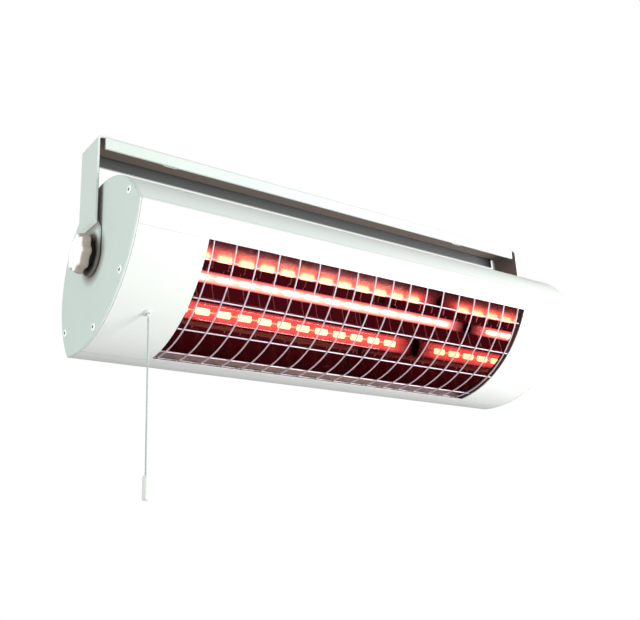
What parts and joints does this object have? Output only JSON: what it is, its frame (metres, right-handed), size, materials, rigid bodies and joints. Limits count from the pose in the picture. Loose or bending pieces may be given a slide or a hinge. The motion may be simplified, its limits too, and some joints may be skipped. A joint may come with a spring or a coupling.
{
  "type": "radiant wall heater",
  "caption": "Tilting infrared bathroom heater: a glowing quartz tube in a mirrored trough behind a wire guard, in a curved white head on a channel bracket, with a pull cord switch.",
  "frame": {"origin": "middle of the bracket's flat fixing face, between the two fixing slots", "axes": "+Z out of the fixing face (up when the bracket hangs under a soffit), +X along the head towards the end away from the pull cord, -Y towards the side the window faces"},
  "size_m": [0.5322, 0.155, 0.3036],
  "materials": {
    "bracket_coat": "satin white powder coat on folded steel",
    "shell_coat": "satin off-white coat on extruded aluminium",
    "cap_coat": "satin off-white coat on die-cast aluminium",
    "panel_coat": "satin white coat on rolled aluminium sheet",
    "screw_white": "white coated steel screws",
    "bright_wire": "bright plated steel wire",
    "mirror_sheet": "polished mirror sheet",
    "plain_sheet": "mill finish sheet",
    "quartz": "clear quartz tube with a faint warm tint",
    "filament": "coiled tungsten filament, glowing orange",
    "ceramic": "unglazed steatite ceramic",
    "steel_plate": "zinc plated spring steel",
    "brass_part": "turned brass",
    "fibre": "dark friction fibre",
    "black_rubber": "black rubber washers",
    "gasket": "grey silicone rubber",
    "knob_white": "white moulded plastic, semi-gloss",
    "stud_steel": "zinc plated steel",
    "white_plastic": "white moulded plastic, satin",
    "grey_plastic": "light grey moulded plastic",
    "lead_sleeve": "red-brown glass fibre sleeve over a silicone lead",
    "cord": "thin braided white cord"
  },
  "bodies": {
    "bracket": {"wall_bracket": "bracket_coat", "clamp_washers": "black_rubber"},
    "head": {"end_cap_left": "cap_coat", "end_cap_right": "cap_coat", "cap_screws_left": "screw_white", "cap_screws_right": "screw_white", "end_seals": "gasket", "rear_shell": "shell_coat", "upper_rail": "shell_coat", "lower_rail": "shell_coat", "front_panel": "panel_coat", "guard_ribs": "bright_wire", "guard_rails": "bright_wire", "reflector": "mirror_sheet", "reflector_end_left": "mirror_sheet", "reflector_end_right": "mirror_sheet", "heat_shield": "plain_sheet", "lamp_tube": "quartz", "lamp_filament": "filament", "lamp_bases": "ceramic", "lamp_holder_left": "steel_plate", "lamp_holder_right": "steel_plate", "pivot_inserts": "brass_part", "friction_washers": "fibre", "terminal_block": "white_plastic", "terminal_screws": "stud_steel", "internal_leads": "lead_sleeve", "earth_stud": "brass_part", "cable_gland": "grey_plastic", "gland_nut": "grey_plastic", "pull_switch": "white_plastic", "cord_bushing": "white_plastic"},
    "left_knob": {"knob_left": "knob_white", "knob_stud_left": "stud_steel"},
    "right_knob": {"knob_right": "knob_white", "knob_stud_right": "stud_steel"},
    "plunger": {"switch_plunger": "white_plastic"},
    "cord": {"pull_cord": "cord", "cord_pull": "white_plastic"}
  },
  "joints": [
    {"name": "head_tilt", "type": "hinge", "parent": "bracket", "child": "head", "pos_m": [0, 0, -0.103], "axis": [1, 0, 0], "range_deg": [-56, 33]},
    {"name": "left_knob_turn", "type": "hinge", "parent": "head", "child": "left_knob", "pos_m": [-0.26, 0, -0.103], "axis": [-1, 0, 0], "range_deg": [0, 360]},
    {"name": "right_knob_turn", "type": "hinge", "parent": "head", "child": "right_knob", "pos_m": [0.26, 0, -0.103], "axis": [1, 0, 0], "range_deg": [0, 360]},
    {"name": "cord_pull_switch", "type": "slide", "parent": "head", "child": "plunger", "axis": [0, -0.5519, -0.8339], "range_m": [0, 0.008], "stiffness_N_per_m": 1000},
    {"name": "cord_swing", "type": "hinge", "parent": "plunger", "child": "cord", "pos_m": [-0.2176, -0.03808, -0.16054], "axis": [1, 0, 0], "range_deg": [-34, 57]}
  ],
  "couplings": [
    {"joint": "cord_swing", "follows": "head_tilt", "ratio": -1}
  ]
}
